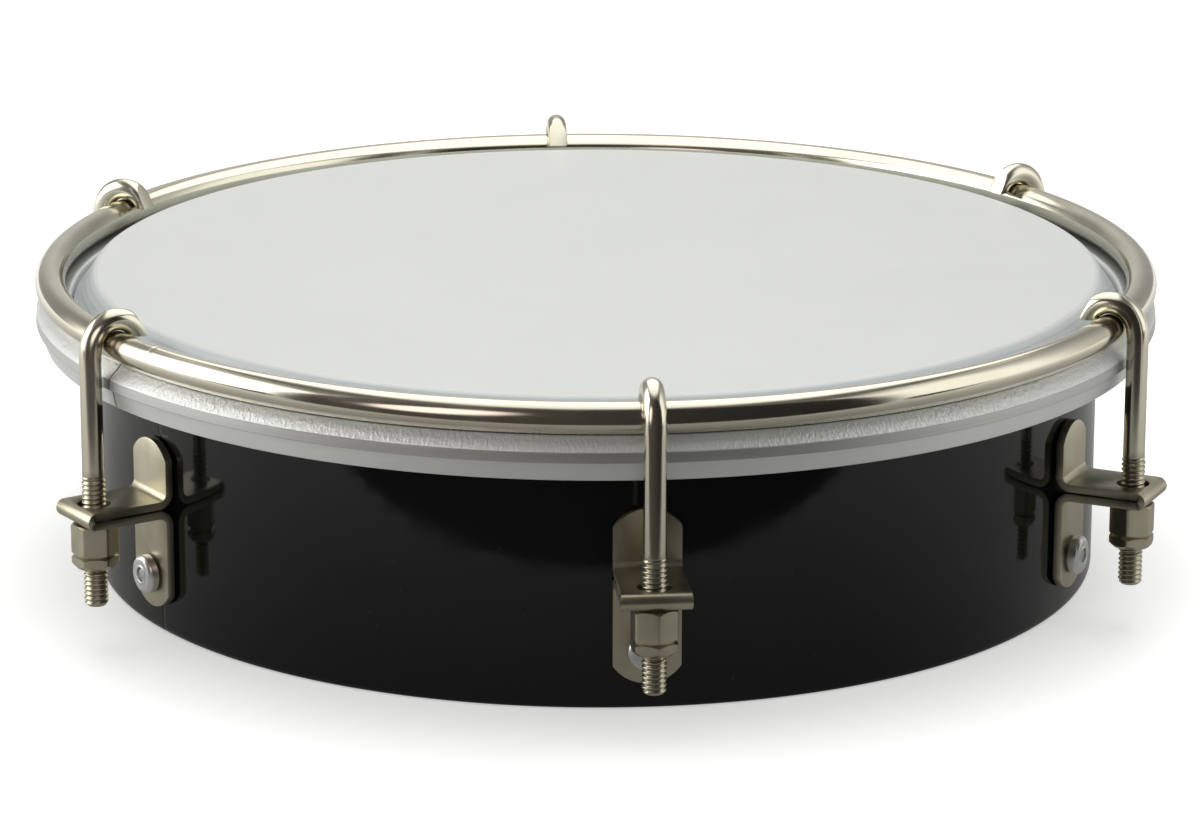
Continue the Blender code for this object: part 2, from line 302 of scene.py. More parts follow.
def combine(tree, operation, first, second=0.5):
    node = addNode(tree, "ShaderNodeMath", operation=operation)
    feed(tree, node.inputs[0], first)
    feed(tree, node.inputs[1], second)
    return node.outputs[0]


def ramp(tree, value, start, end, low=0.0, high=1.0, kind="LINEAR"):
    # low up to start and high from end on
    return addNode(tree, "ShaderNodeMapRange", {
        "From Min": start, "From Max": end, "To Min": low, "To Max": high}, {"Value": value},
        interpolation_type=kind).outputs[0]


noiseRange = (0.3, 0.7)        # nearly all of a noise's levels lie between these


def noise(tree, place, size, detail, distortion=0.0):
    # clouds about size millimetres wide
    return addNode(tree, "ShaderNodeTexNoise", {
        "Scale": metre / size, "Detail": detail, "Distortion": distortion},
        {"Vector": place}).outputs["Fac"]


def drawnOut(tree, place, scale):
    # the place, stretched differently along each axis
    return addNode(tree, "ShaderNodeMapping", {"Scale": scale}, {"Vector": place}).outputs[0]


def dent(tree, shader, height, depth, strength=1.0):
    # relief of a depth in millimetres
    bump = addNode(tree, "ShaderNodeBump", {"Strength": strength, "Distance": depth * mm},
                   {"Height": height})
    tree.links.new(bump.outputs[0], shader.inputs["Normal"])


def polarPlace(tree, place):
    # object space unrolled round the Z axis: length along the rim, radius, height, in metres
    split = addNode(tree, "ShaderNodeSeparateXYZ", links={0: place}).outputs
    turn = combine(tree, "ARCTAN2", split["Y"], split["X"])
    arc = combine(tree, "MULTIPLY", turn, layout["ringRadius"] * mm)
    flat = addNode(tree, "ShaderNodeCombineXYZ", links={"X": split["X"], "Y": split["Y"]})
    radius = addNode(tree, "ShaderNodeVectorMath", links={0: flat.outputs[0]},
                     operation="LENGTH").outputs["Value"]
    unrolled = addNode(tree, "ShaderNodeCombineXYZ", links={
        "X": arc, "Y": radius, "Z": split["Z"]}).outputs[0]
    return unrolled, radius, split["Z"]


lacquer = {
    "colour": "#0B0D0C",
    "dusty": "#171918",        # inside, where the spray is thin and matt
    "specular": 0.30,
    "gloss": (0.05, 0.11),     # roughness from clear to hazy
    "insideRoughness": 0.42,
    "insideFrom": (72.9, 73.1),        # mm, radii between which the outside turns into the inside
    "hazeSize": 9.0,           # mm, clouds where the gloss is a little duller
    "peelSize": 1.4,           # mm, cells of the orange peel
    "peelHeight": 0.003,
    "speck": "#161918",
    "speckSize": 0.4,          # mm, dust nibs; real ones are 0.1 mm, drawn coarser so that they show
    "speckSpacing": 9,         # nib sizes from one nib to the next
    "speckEdge": (0.05, 0.09),
    "speckRise": 0.3,          # how far a nib stands out of the orange peel
}


def glossBlackLacquer():
    # gloss lacquer sprayed on rolled steel: deep black, clear reflections with a faint orange peel
    material, tree, shader, place = startMaterial("glossBlackLacquer", 0.07, 0.0)
    radius = polarPlace(tree, place)[1]
    haze = noise(tree, place, lacquer["hazeSize"], 3.0)
    gloss = ramp(tree, haze, *noiseRange, *lacquer["gloss"])
    first, last = lacquer["insideFrom"]
    inside = ramp(tree, radius, first * mm, last * mm, 1.0, 0.0)
    tree.links.new(mixNumbers(tree, inside, gloss, lacquer["insideRoughness"]),
                   shader.inputs["Roughness"])
    spacing = lacquer["speckSize"] * lacquer["speckSpacing"]
    specks = addNode(tree, "ShaderNodeTexVoronoi", {"Scale": metre / spacing}, {"Vector": place})
    nib = ramp(tree, specks.outputs["Distance"], *lacquer["speckEdge"], 1.0, 0.0)
    speckled = mixColours(tree, nib, lacquer["colour"], lacquer["speck"])
    tree.links.new(mixColours(tree, inside, speckled, lacquer["dusty"]), shader.inputs["Base Color"])
    grown = combine(tree, "MULTIPLY", nib, lacquer["speckRise"])
    peel = noise(tree, place, lacquer["peelSize"], 1.0)
    dent(tree, shader, combine(tree, "ADD", peel, grown), lacquer["peelHeight"])
    shader.inputs["Specular IOR Level"].default_value = lacquer["specular"]
    return material


film = {
    "colours": ("#D4D6D2", "#DADCD8"),
    "rimColour": "#D2DADD",    # bluish where the coating thins out towards the collar
    "creaseShadeColour": "#A9B9C2",
    "creaseSpacing": 0.55,     # mm between the creases that forming left in the collar
    "creaseShadeShare": 0.5,        # how much painted shade a crease shows at most
    "creaseFrom": (0.5, 1.0),  # part of the wave across the creases that is one
    "roughness": (0.34, 0.44),
    "coatSize": 0.35,          # mm, grains of the sprayed coating; drawn coarser than the real 0.05 mm
    "coatHeight": 0.006,
    "cloudSize": 18.0,         # mm
    "fade": (72.9, 74.5),      # mm, radii between which the face turns into the collar
    "depth": 1.2,              # mm that light spreads in the film
    "depthShare": 0.35,        # share of the light that does so
}


def coatedPolyester():
    # polyester film with a sprayed white coating: milky, even, with a soft sheen and a bluish collar,
    # where fine creases are painted as rings of shade
    material, tree, shader, place = startMaterial("coatedPolyester", 0.4, 0.0)
    radius = polarPlace(tree, place)[1]
    milky = mixColours(tree, noise(tree, place, film["cloudSize"], 4.0), *film["colours"])
    first, last = film["fade"]
    rim = ramp(tree, radius, first * mm, last * mm, kind="SMOOTHSTEP")
    pale = mixColours(tree, rim, milky, film["rimColour"])
    # fine creases in the collar are drawn as thin rings of painted shade
    pace = combine(tree, "MULTIPLY", radius, 2 * math.pi * metre / film["creaseSpacing"])
    crease = ramp(tree, combine(tree, "SINE", pace), *film["creaseFrom"], 0.0,
                  film["creaseShadeShare"])
    tree.links.new(mixColours(tree, combine(tree, "MULTIPLY", crease, rim), pale,
                              film["creaseShadeColour"]), shader.inputs["Base Color"])
    grain = noise(tree, place, film["coatSize"], 2.0)
    tree.links.new(ramp(tree, grain, *noiseRange, *film["roughness"]), shader.inputs["Roughness"])
    dent(tree, shader, grain, film["coatHeight"], 0.5)
    shader.inputs["Subsurface Weight"].default_value = film["depthShare"]
    shader.inputs["Subsurface Radius"].default_value = (1.0, 1.0, 1.0)
    shader.inputs["Subsurface Scale"].default_value = film["depth"] * mm
    return material


channel = {
    "colour": "#E8E9E7",
    "shade": "#DADBD9",
    "metal": 0.88,             # the rest is a thin oxide bloom that scatters light
    "beadMetal": 0.64,         # more of it on the bead, which the rolls have worn
    "roughness": (0.46, 0.58),         # on the bead
    "skirtRoughness": (0.44, 0.56),
    "streakLength": 16.0,      # mm along the hoop
    "streakWidth": 0.35,       # mm across it
    "streakDepth": 0.10,       # share of the ripple's height
    "rippleLength": 0.42,      # mm along the hoop, chatter left by the bending rolls on the bead
    "rippleWidth": 0.8,        # mm across it
    "rippleHeight": 0.17,
    "rippleWander": 0.4,       # how far the chatter strays from straight marks
    "band": (37.12, 38.62),    # heights of the upright band under the bead, painted darker as shade since it faces down
    "bandShadeColour": "#BDBDBB",
    "bandFade": ((0.0, 0.1), (-0.05, 0.15)),   # mm round its two heights over which it comes and goes
    "crevice": (40.42, 40.62),         # heights where painted shade, with some dirt, darkens the joint under the ring
    "creviceColour": "#8A8A88",
}


def rolledAluminium():
    # extruded aluminium channel rolled into a hoop: satin skirt with faint streaks, roll chatter on
    # the bead that breaks its highlights into sparkle
    material, tree, shader, place = startMaterial("rolledAluminium", 0.4, channel["metal"])
    unrolled, _, height = polarPlace(tree, place)
    length, width = metre / channel["streakLength"], metre / channel["streakWidth"]
    streaks = noise(tree, drawnOut(tree, unrolled, (length, width, width)), metre, 3.0)
    clean = mixColours(tree, streaks, channel["shade"], channel["colour"])
    # painted shade, with some dirt, darkens the hoop's top where the counter hoop lies on it
    low, high = channel["crevice"]
    ringShadeAndGrime = ramp(tree, height, low * mm, high * mm, kind="SMOOTHSTEP")
    above, bead = (ramp(tree, height, (edge + before) * mm, (edge + after) * mm)
                   for edge, (before, after) in zip(channel["band"], channel["bandFade"]))
    tree.links.new(ramp(tree, bead, 0.0, 1.0, channel["metal"], channel["beadMetal"]),
                   shader.inputs["Metallic"])
    # the upright band under the bead is painted darker as shade, because it faces down
    shadedBand = combine(tree, "SUBTRACT", above, bead)
    banded = mixColours(tree, shadedBand, clean, channel["bandShadeColour"])
    tree.links.new(mixColours(tree, ringShadeAndGrime, banded, channel["creviceColour"]),
                   shader.inputs["Base Color"])
    skirtDull, beadDull = (ramp(tree, streaks, *noiseRange, *channel[name])
                           for name in ("skirtRoughness", "roughness"))
    tree.links.new(mixNumbers(tree, bead, skirtDull, beadDull), shader.inputs["Roughness"])
    length, width = metre / channel["rippleLength"], metre / channel["rippleWidth"]
    ripple = noise(tree, drawnOut(tree, unrolled, (length, width, width)), metre, 2.0,
                   channel["rippleWander"])
    chatter = combine(tree, "MULTIPLY", ripple, bead)
    fine = combine(tree, "MULTIPLY", streaks, channel["streakDepth"])
    dent(tree, shader, combine(tree, "ADD", chatter, fine), channel["rippleHeight"])
    return material


nickel = {
    "bright": ("#CBC5B0", "#DCD8C8"),     # warmer where the plating is thin
    "satin": ("#9F977E", "#D3CEBA"),      # barrel plated, with browner patches
    "threadColour": "#B7B19D",            # darker over the threaded part
    "cloudSize": 5.0,          # mm
    "cloudRange": (0.35, 0.7),         # levels of the clouds from bright to dull
    "waveSize": 2.5,           # mm, slow waves left by polishing
    "threadRoughness": 0.30,   # the rolled thread isn't polished
    "threadFade": (-0.3, 0.9),         # mm round the thread's top where the finish changes
    "pitSize": 0.28,           # mm, fine pits; drawn about twice as coarse as the real ones
    "pitDepth": 0.10,          # share of the waves' height
}


def nickelPlate(name, colours, stretch, waveHeight, roughness, threadTop=None):
    # bright nickel on steel: warm grey mirror with slow polishing waves and fine pits
    # stretch draws the pattern out along the piece, as the wire or strip was drawn
    material, tree, shader, place = startMaterial(name, sum(roughness) / 2, 1.0)
    drawn = drawnOut(tree, place, stretch)
    cloud = noise(tree, drawn, nickel["cloudSize"], 4.0)
    colour = mixColours(tree, cloud, *colours)
    gloss = ramp(tree, cloud, *nickel["cloudRange"], *roughness)
    if threadTop:
        height = addNode(tree, "ShaderNodeSeparateXYZ", links={0: place}).outputs["Z"]
        below, above = nickel["threadFade"]
        threaded = ramp(tree, height, (threadTop + below) * mm, (threadTop + above) * mm, 1.0, 0.0)
        gloss = mixNumbers(tree, threaded, gloss, nickel["threadRoughness"])
        colour = mixColours(tree, threaded, colour, nickel["threadColour"])
    tree.links.new(colour, shader.inputs["Base Color"])
    tree.links.new(gloss, shader.inputs["Roughness"])
    waves = noise(tree, drawn, nickel["waveSize"], 1.0)
    pits = combine(tree, "MULTIPLY", noise(tree, drawn, nickel["pitSize"], 1.0), nickel["pitDepth"])
    dent(tree, shader, combine(tree, "ADD", waves, pits), waveHeight)
    return material


# soft aluminium, headed cold: pale and slightly dented by the setting tool
rivetFinish = {
    "colour": "#E6E6E4",
    "shade": "#CFD0CE",
    "roughness": (0.30, 0.40),
    "grain": 0.9,              # mm
    "grainHeight": 0.004,
    "grainStrength": 0.7,
}

# plain steel wire, snapped when the rivet was set: grey and grainy
mandrelFinish = {
    "colour": "#C9C8C4",
    "shade": "#9B9A96",
    "grain": 0.3,              # mm
    "grainHeight": 0.012,
    "grainStrength": 0.8,
}


def grainyMetal(name, roughness, finish):
    # bare metal whose colour follows its grain, and its gloss too where the finish has a range
    material, tree, shader, place = startMaterial(name, roughness, 1.0)
    grain = noise(tree, place, finish["grain"], 3.0)
    tree.links.new(mixColours(tree, grain, finish["shade"], finish["colour"]),
                   shader.inputs["Base Color"])
    if "roughness" in finish:
        tree.links.new(ramp(tree, grain, *noiseRange, *finish["roughness"]),
                       shader.inputs["Roughness"])
    dent(tree, shader, grain, finish["grainHeight"], finish["grainStrength"])
    return material


blackFinish = glossBlackLacquer()
filmFinish = coatedPolyester()
hoopFinish = rolledAluminium()
wireFinish = nickelPlate(
    "nickelPlatedWire", nickel["bright"], stretch=(1.0, 1.0, 0.25), waveHeight=0.004,
    roughness=(0.14, 0.22), threadTop=layout["threadTop"])
ringFinish = nickelPlate("nickelPlatedHoop", nickel["bright"], stretch=(0.6, 0.6, 1.0),
                         waveHeight=0.004, roughness=(0.11, 0.19))
stripFinish = nickelPlate("nickelPlatedStrip", nickel["satin"], stretch=(1.0, 1.0, 0.5),
                          waveHeight=0.010, roughness=(0.33, 0.41))
nutFinish = nickelPlate("nickelPlatedNut", nickel["satin"], stretch=(1.0, 1.0, 1.0),
                        waveHeight=0.008, roughness=(0.28, 0.36))
rivetMetal = grainyMetal("pressedAluminium", 0.28, rivetFinish)
mandrelMetal = grainyMetal("snappedSteel", 0.45, mandrelFinish)
print("materials made")


# Shell

shell = {
    "radius": 73.8,
    "height": 43.45,
    "wall": 1.0,
    "turnIn": 3.6,             # from the outside of the wall to the edge's lip
    "bend": 1.0,
    "footBend": 1.1,
    "insideBend": 0.6,
    "lipRound": 0.35,          # at the corners of the turned-in edges
    "seam": -150.9,            # direction of the rolled shell's butt seam
    "seamWidth": 0.30,         # mm across
    "seamDepth": 0.04,
    "rivetHole": 3.8,
    "drillLength": 6.0,
    "steps": 288,
}


def seamedWall(radius, height, angle):
    # the seam is a shallow groove in the outside of the wall
    offset = degreesApart(angle, shell["seam"]) * math.pi / 180 * shell["radius"]
    share = max(0.0, 1 - offset / (shell["seamWidth"] / 2))
    if radius > shell["radius"] - 0.5 * shell["wall"]:
        radius -= shell["seamDepth"] * share
    return radius, height


def makeShell():
    r, h, wall = shell["radius"], shell["height"], shell["wall"]
    lip = r - shell["turnIn"]
    soft, inner = shell["lipRound"], shell["insideBend"]
    corners = [
        (lip, h, soft), (r, h, shell["bend"]), (r, 0, shell["footBend"]), (lip, 0, soft),
        (lip, wall, soft), (r - wall, wall, inner), (r - wall, h - wall, inner),
        (lip, h - wall, soft)]
    seam = (shell["seam"], math.degrees(shell["seamWidth"] / 2 / r))
    blank = addObject("shellBlank", turnedMesh(
        "shellBlank", roundCorners(corners, 6), evenAngles(shell["steps"], [seam]),
        shift=seamedWall))
    drills = [roundDrill(f"drill{number}", shell["rivetHole"] / 2, shell["drillLength"],
                         turn @ alongAxis(r, layout["rivetHeight"]), 32)
              for number, turn in stations()]
    cutWith(blank, drills)
    mesh = bakeModifiers(blank, drills, 35)
    placePiece("black_shell", mesh, blackFinish, "drum", ["shell"])


makeShell()
print("shell made")


# Head film

skin = {
    "thickness": 0.3,
    "flare": 35,               # slope of the collar, from the vertical
    "hoopInside": 77.0,        # inside radius of the hoop that holds it
    "hoopWall": 0.9,
    "hoopTop": 40.4,
    "wallDepth": 4.4,          # height of the hoop's inner wall
    "rimClearance": 0.6,
    "rings": (0, 3, 8, 16, 24, 32, 40, 48, 56, 62, 67, 70),
    "steps": 240,
}


def filmPath():
    # middle of the film, from the axis out, over the shell's edge and into the hoop
    half = skin["thickness"] / 2
    centre = (shell["radius"] - shell["bend"], shell["height"] - shell["bend"])
    bend = shell["bend"] + layout["seat"] + half
    path = [(radius, centre[1] + bend) for radius in skin["rings"]]
    path += pointsOnArc(centre, bend, 90, skin["flare"], 12)
    wall = skin["hoopInside"] - layout["seat"] - half
    foot = path[-1][1] - (wall - path[-1][0]) / math.tan(math.radians(skin["flare"]))
    slope = [(path[-1][0] + (wall - path[-1][0]) * t, path[-1][1] + (foot - path[-1][1]) * t)
             for t in (0.25, 0.5, 0.75)]
    path += slope + [(wall, foot)]
    around = (skin["hoopInside"] + skin["hoopWall"] / 2, skin["hoopTop"] - skin["wallDepth"])
    turn = around[0] - wall
    path += pointsOnArc(around, turn, 180, 360, 12)
    path.append((around[0] + turn, skin["hoopTop"] - skin["hoopWall"] - skin["rimClearance"]))
    return path


def makeFilm():
    # the round end that thickLine adds at the axis isn't wanted
    outline = thickLine(filmPath(), skin["thickness"])[:-2]
    outline[0] = (0.0, outline[0][1])
    outline[-1] = (0.0, outline[-1][1])
    mesh = turnedMesh("film_head", outline, evenAngles(skin["steps"]), 50)
    placePiece("film_head", mesh, filmFinish, "rim", ["head_film"])


makeFilm()
print("film made")


# Head hoop

hoop = {
    "inside": 77.0,
    "bead": 82.2,
    "top": 40.62,
    "flat": 80.15,             # radius where the flat top ends, under the counter hoop
    "edge": 38.65,             # height of the crisp edge below the slope
    "edgeInset": 0.08,         # from the widest place in to that edge
    "slope": (55, 38),         # degrees at the slope's top and at its edge
    "crown": 6.9,              # radius of the slope's slight crown
    "wall": 0.9,
    "innerDepth": 4.62,
    "beadHeight": 3.52,
    "skirtLean": 0.50,         # how far the skirt draws in towards its foot
    "height": 6.12,
    "skirtInset": 0.7,
    "stepSlant": (0.12, -0.1),         # heights of the step's outer and inner end off its level
    "stepBack": (0.8, 0.35),           # the same behind it, on the inside of the wall
    "flatBack": 0.2,           # from the flat's edge in to the corner below it
    "seam": -150.15,           # direction of the hoop's butt seam
    "seamWidth": 0.36,
    "steps": 360,
}


def hoopOutline():
    # an upside-down channel: inner wall, crowned slope, upright band, step and skirt
    inside, bead, top, wall = hoop["inside"], hoop["bead"], hoop["top"], hoop["wall"]
    step = top - hoop["beadHeight"]
    skirt = bead - hoop["skirtInset"]
    foot = top - hoop["height"]
    base = skirt - hoop["skirtLean"]
    high, low = hoop["slope"]
    slope = math.radians(low)
    centre = (bead - hoop["edgeInset"] - hoop["crown"] * math.cos(slope),
              hoop["edge"] - hoop["crown"] * math.sin(slope))
    *bow, edge = pointsOnArc(centre, hoop["crown"], high, low, 8)
    outer, inner = hoop["stepSlant"]
    outerBack, innerBack = hoop["stepBack"]
    return roundCorners([
        (inside, top - hoop["innerDepth"], 0.3), (inside, top, 0.8), (hoop["flat"], top, 0.3),
        *((x, z, 0) for x, z in bow), (*edge, 0.08),
        # the step under the band is a little aslant, and the wall behind it follows
        (bead, step + outer, 0.12), (skirt, step + inner, 0.1), (base, foot, 0.25),
        (base - wall, foot, 0.25), (skirt - wall, step + innerBack, 0.3),
        (bead - wall, step + outerBack, 0.3), (hoop["flat"] - hoop["flatBack"], top - wall, 0.3),
        (inside + wall, top - wall, 0.5),
        (inside + wall, top - hoop["innerDepth"], 0.3)], 6)


def makeHoop():
    gap = math.degrees(hoop["seamWidth"] / 2 / hoop["bead"])
    start = hoop["seam"] + gap
    sweep = 360 - 2 * gap
    angles = [start + sweep * i / hoop["steps"] for i in range(hoop["steps"] + 1)]
    mesh = turnedMesh("channel_hoop", hoopOutline(), angles, 35, open=True)
    placePiece("channel_hoop", mesh, hoopFinish, "rim", ["head_hoop"])


makeHoop()
print("head hoop made")


# Counter hoop

ring = {
    "wire": 4.4,
    "weld": -143.6,            # direction of the butt weld
    "weldGroove": 0.02,        # depth of the mark that polishing left
    "weldWidth": 0.4,
    "weldSwell": 0.015,
    "swellWidth": 4.0,
    "steps": 384,
    "around": 40,
}


def weldedWire(radius, height, angle):
    # slightly fatter beside the weld, with a fine groove at it
    offset = degreesApart(angle, ring["weld"]) * math.pi / 180 * layout["ringRadius"]
    swell = ring["weldSwell"] * max(0.0, 1 - (offset / (ring["swellWidth"] / 2)) ** 2)
    groove = (ring["weldGroove"] + swell) * max(0.0, 1 - offset / (ring["weldWidth"] / 2))
    scale = 1 + (swell - groove) / (ring["wire"] / 2)
    middle = layout["ringRadius"], layout["ringHeight"]
    return middle[0] + (radius - middle[0]) * scale, middle[1] + (height - middle[1]) * scale


def makeRing():
    # the swell stays inside the wire's own size, so that nothing grows
    radius = ring["wire"] / 2 - ring["weldSwell"]
    section = pointsOnArc((layout["ringRadius"], layout["ringHeight"]), radius, 0, 360,
                          ring["around"])[:-1]
    reach = math.degrees(ring["weldWidth"] / 2 / layout["ringRadius"])
    wide = math.degrees(ring["swellWidth"] / 2 / layout["ringRadius"])
    angles = evenAngles(ring["steps"], [(ring["weld"], wide), (ring["weld"], reach)])
    mesh = turnedMesh("counter_ring", section, angles, 60, shift=weldedWire)
    placePiece("counter_ring", mesh, ringFinish, "rim", ["counter_hoop"])


makeRing()
print("counter hoop made")


# Hooks

rod = {
    "wire": 3.1,
    "thread": 3.4,             # outside diameter of the rolled thread
    "root": 2.84,
    "pitch": 0.7,
    "end": 5.9,                # height of the rod's lower end
    "fade": 0.9,               # mm over which the thread runs out
    "bend": 3.8,               # radius of the bend, on the rod's middle
    "ease": 6.08,              # mm over which the straight rod goes into the bend
    "sweep": 168,              # degrees that the hook bends over the counter hoop
    "tipHeight": 1.2,          # from the counter hoop's middle up to the tip's end
    "tipReach": 4.3,           # from the counter hoop's middle in to the tip's corner
    "tipSlope": 63,            # slope of the slanted cut on the outside of the tip
    "endChamfer": 0.45,
    "around": 28,
    "rowsPerPitch": 9,
    "bendRow": 0.36,           # mm between the rows of points round the bend
    "finer": 8,                # steps of the curve for each such row
    "tipRound": 0.14,
}


def threadRadius(height, turn):
    # a rolled thread: rounded crests and roots, running out into the plain shank
    phase = (height / rod["pitch"] - turn / (2 * math.pi)) % 1
    tooth = 0.5 + 0.5 * math.cos(2 * math.pi * phase)
    tooth = tooth ** 0.8
    cut = rod["root"] / 2 + (rod["thread"] - rod["root"]) / 2 * tooth
    plain = rod["wire"] / 2
    run = min(1.0, max(0.0, (layout["threadTop"] - height) / rod["fade"]))
    return plain + (cut - plain) * run


def hookBend():
    # points on the rod's middle with the direction in which its outside faces, from the straight
    # rod over the counter hoop to the tip; the curve tightens gradually, as a rod bends on a pin
    step = rod["bendRow"] / rod["finer"]
    heading, gone = 90.0, 0.0
    here = Vector((0.0, 0.0))
    line = [(here.copy(), 0.0)]
    while heading < 90 + rod["sweep"]:
        share = min(1.0, gone / rod["ease"])
        heading += math.degrees(share * share * (3 - 2 * share) / rod["bend"] * step)
        here += Vector((math.cos(math.radians(heading)), math.sin(math.radians(heading)))) * step
        gone += step
        line.append((here.copy(), heading - 90))
    highest = max(point.y for point, facing in line)
    start = Vector((layout["rodRadius"], layout["ringHeight"] + rod["bend"] - highest))
    return [(point + start, facing) for point, facing in line[::rod["finer"]]]


def hookShape():
    shape = bmesh.new()
    rows = []
    step = rod["pitch"] / rod["rowsPerPitch"]
    count = int((layout["threadTop"] + rod["fade"] - rod["end"]) / step)
    for i in range(count + 1):
        height = rod["end"] + step * i
        taper = max(0.0, rod["endChamfer"] - (height - rod["end"]))
        rows.append((Vector((layout["rodRadius"], 0, height)), Vector((1, 0, 0)), height, taper))
    bend = hookBend()
    for share in (0.33, 0.67):
        height = rows[count][2] + (bend[0][0].y - rows[count][2]) * share
        rows.append((Vector((layout["rodRadius"], 0, height)), Vector((1, 0, 0)), None, 0.0))
    for point, facing in bend:
        t = math.radians(facing)
        rows.append((Vector((point.x, 0, point.y)), Vector((math.cos(t), 0, math.sin(t))), None, 0.0))
    circles = []
    for middle, outward, height, taper in rows:
        circle = []
        for k in range(rod["around"]):
            turn = 2 * math.pi * k / rod["around"]
            radius = rod["wire"] / 2
            if height is not None:
                radius = min(threadRadius(height, turn), rod["thread"] / 2 - taper)
            circle.append(shape.verts.new(
                middle + outward * radius * math.cos(turn) + Vector((0, radius * math.sin(turn), 0))))
        circles.append(circle)
    joinRows(shape, circles)
    return shape


def trimTip(shape, corner, outward):
    near = [v for v in shape.verts if v.co.x < layout["ringRadius"]]
    edges = {e for v in near for e in v.link_edges}
    faces = {f for v in near for f in v.link_faces}
    cut = bmesh.ops.bisect_plane(shape, geom=near + list(edges) + list(faces), plane_co=corner,
                                 plane_no=outward, clear_outer=True)
    rim = [e for e in cut["geom_cut"] if isinstance(e, bmesh.types.BMEdge)]
    bmesh.ops.holes_fill(shape, edges=rim, sides=0)


def cropTip(shape):
    # cropped level at its end and on a slant outside, with the burr just broken
    corner = Vector((layout["ringRadius"] - rod["tipReach"], 0,
                     layout["ringHeight"] + rod["tipHeight"]))
    slope = math.radians(rod["tipSlope"])
    trimTip(shape, corner, Vector((0, 0, -1)))
    trimTip(shape, corner, Vector((-math.sin(slope), 0, math.cos(slope))))
    bmesh.ops.recalc_face_normals(shape, faces=shape.faces)
    sharp = [e for e in shape.edges if e.verts[0].co.x < layout["ringRadius"]
             and len(e.link_faces) == 2 and e.calc_face_angle() > math.radians(30)]
    bmesh.ops.bevel(shape, geom=sharp, offset=rod["tipRound"], offset_type="OFFSET", segments=3,
                    profile=0.5, affect="EDGES", clamp_overlap=True)


def makeHooks():
    shape = hookShape()
    cropTip(shape)
    mesh = finishMesh("hook", shape, 38)
    for number, turn in stations():
        placePiece(f"j_hook_{number}", mesh.copy(), wireFinish, "rim",
                   [f"hook_{number}"], turn)


makeHooks()
print("hooks made")


# Brackets

strip = {
    "width": 9.3,
    "thickness": 1.1,
    "tab": 74.65,              # radius of the tabs' middle
    "bend": 1.6,
    "layerGap": 0.3,
    "shelfTop": 20.7,
    "shelfFront": 87.5,
    "upperTab": 8.1,
    "lowerTab": 14.0,
    "round": 2.5,              # height of a tab's rounded end
    "hookHole": 4.7,
    "hookDrill": 10.0,         # length that the drill cuts
    "rivetHole": 3.8,
    "rivetDrill": 4.0,
    "foldSwell": 0.18,         # how far the ends of the fold are squeezed out sideways
    "edgeRound": 0.18,
    "bendSteps": 10,
    "foldSteps": 14,
}


def tabEnd(steps):
    # pairs of distance from the tip and half width
    half = strip["width"] / 2
    radius = (half ** 2 + strip["round"] ** 2) / (2 * strip["round"])
    first, last = math.radians(3), math.asin(half / radius)
    turns = [first + (last - first) * i / steps for i in range(steps + 1)]
    return [(radius * (1 - math.cos(t)), radius * math.sin(t)) for t in turns]


def stripRows():
    half = strip["width"] / 2
    thick = strip["thickness"]
    underside = strip["shelfTop"] - 2 * thick - strip["layerGap"]
    upper = strip["shelfTop"] - thick / 2
    lower = underside + thick / 2
    fold = (upper - lower) / 2
    centre = (strip["shelfFront"] - thick / 2 - fold, lower + fold)
    lowTip = underside - strip["lowerTab"]
    highTip = strip["shelfTop"] + strip["upperTab"]
    bends, folds = strip["bendSteps"], strip["foldSteps"]
    rows = [(strip["tab"], lowTip + rise, width) for rise, width in tabEnd(bends)]
    rows += [(x, z, half) for x, z in pointsOnArc(
        (strip["tab"] + strip["bend"], lower - strip["bend"]), strip["bend"], 180, 90, bends)]
    for i, (x, z) in enumerate(pointsOnArc(centre, fold, -90, 90, folds)):
        swell = strip["foldSwell"] * math.sin(math.pi * i / folds)
        rows.append((x, z, half + swell))
    rows += [(x, z, half) for x, z in pointsOnArc(
        (strip["tab"] + strip["bend"], upper + strip["bend"]), strip["bend"], -90, -180, bends)]
    rows += [(strip["tab"], highTip - drop, width) for drop, width in reversed(tabEnd(bends))]
    return rows


def stripMesh():
    rows = stripRows()
    shape = bmesh.new()
    sections = []
    for i, (x, z, half) in enumerate(rows):
        before = Vector(rows[max(i - 1, 0)][:2])
        after = Vector(rows[min(i + 1, len(rows) - 1)][:2])
        along = (after - before).normalized()
        side = Vector((-along.y, along.x)) * strip["thickness"] / 2
        sections.append([shape.verts.new((x + side.x * s, y, z + side.y * s))
                         for s, y in ((1, -half), (1, half), (-1, half), (-1, -half))])
    joinRows(shape, sections)
    return finishMesh("strip", shape, 30)


def makeBrackets():
    blank = addObject("stripBlank", stripMesh())
    middle = strip["shelfTop"] - strip["thickness"]
    drills = [
        roundDrill("hookDrill", strip["hookHole"] / 2, strip["hookDrill"],
                   Matrix.Translation((layout["rodRadius"] * mm, 0, middle * mm))),
        roundDrill("rivetDrill", strip["rivetHole"] / 2, strip["rivetDrill"],
                   alongAxis(strip["tab"], layout["rivetHeight"]))]
    cutWith(blank, drills)
    bevel = blank.modifiers.new("worn edges", "BEVEL")
    bevel.width = strip["edgeRound"] * mm
    bevel.segments = 3
    bevel.limit_method = "ANGLE"
    bevel.angle_limit = math.radians(50)
    mesh = bakeModifiers(blank, drills, 40)
    for number, turn in stations():
        placePiece(f"folded_bracket_{number}", mesh.copy(), stripFinish, "drum",
                   [f"bracket_{number}"], turn)


makeBrackets()
print("brackets made")


# Nuts

